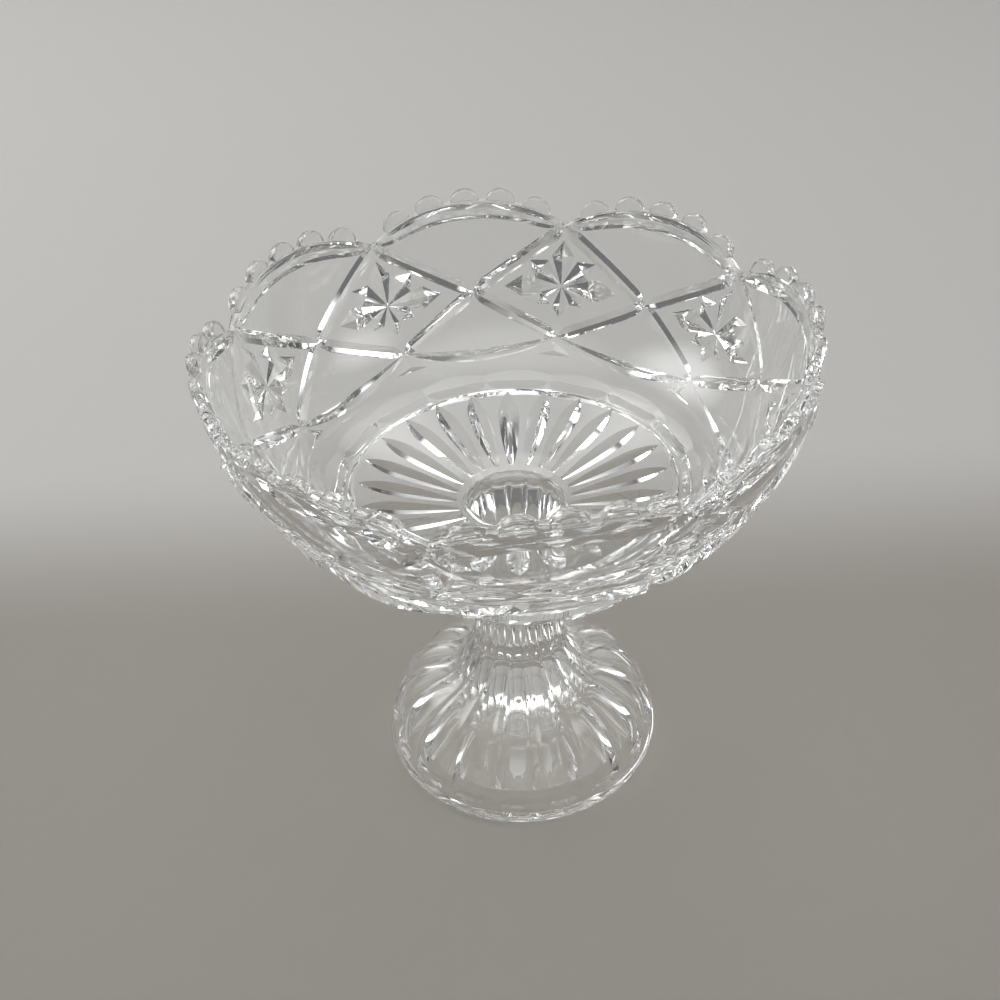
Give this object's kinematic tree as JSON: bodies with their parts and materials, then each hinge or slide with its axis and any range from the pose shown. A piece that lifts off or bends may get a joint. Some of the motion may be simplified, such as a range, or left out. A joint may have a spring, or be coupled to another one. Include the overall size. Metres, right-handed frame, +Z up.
{
  "type": "footed compote bowl",
  "caption": "Deep round bowl with a lobed beaded rim and pressed diamond pattern, on a fluted stem and domed foot, in clear glass.",
  "frame": {"origin": "middle of the foot's rest plane, on the upright axis", "axes": "+Z upward along the stem, +X and +Y through dips of the rim"},
  "size_m": [0.2124, 0.2124, 0.197],
  "materials": {
    "bowl": "polished",
    "joining_wafer": "polished",
    "stem_and_foot": "polished"
  },
  "bodies": {
    "root": {"bowl": "bowl", "joining_wafer": "joining_wafer", "stem_and_foot": "stem_and_foot"}
  },
  "joints": []
}
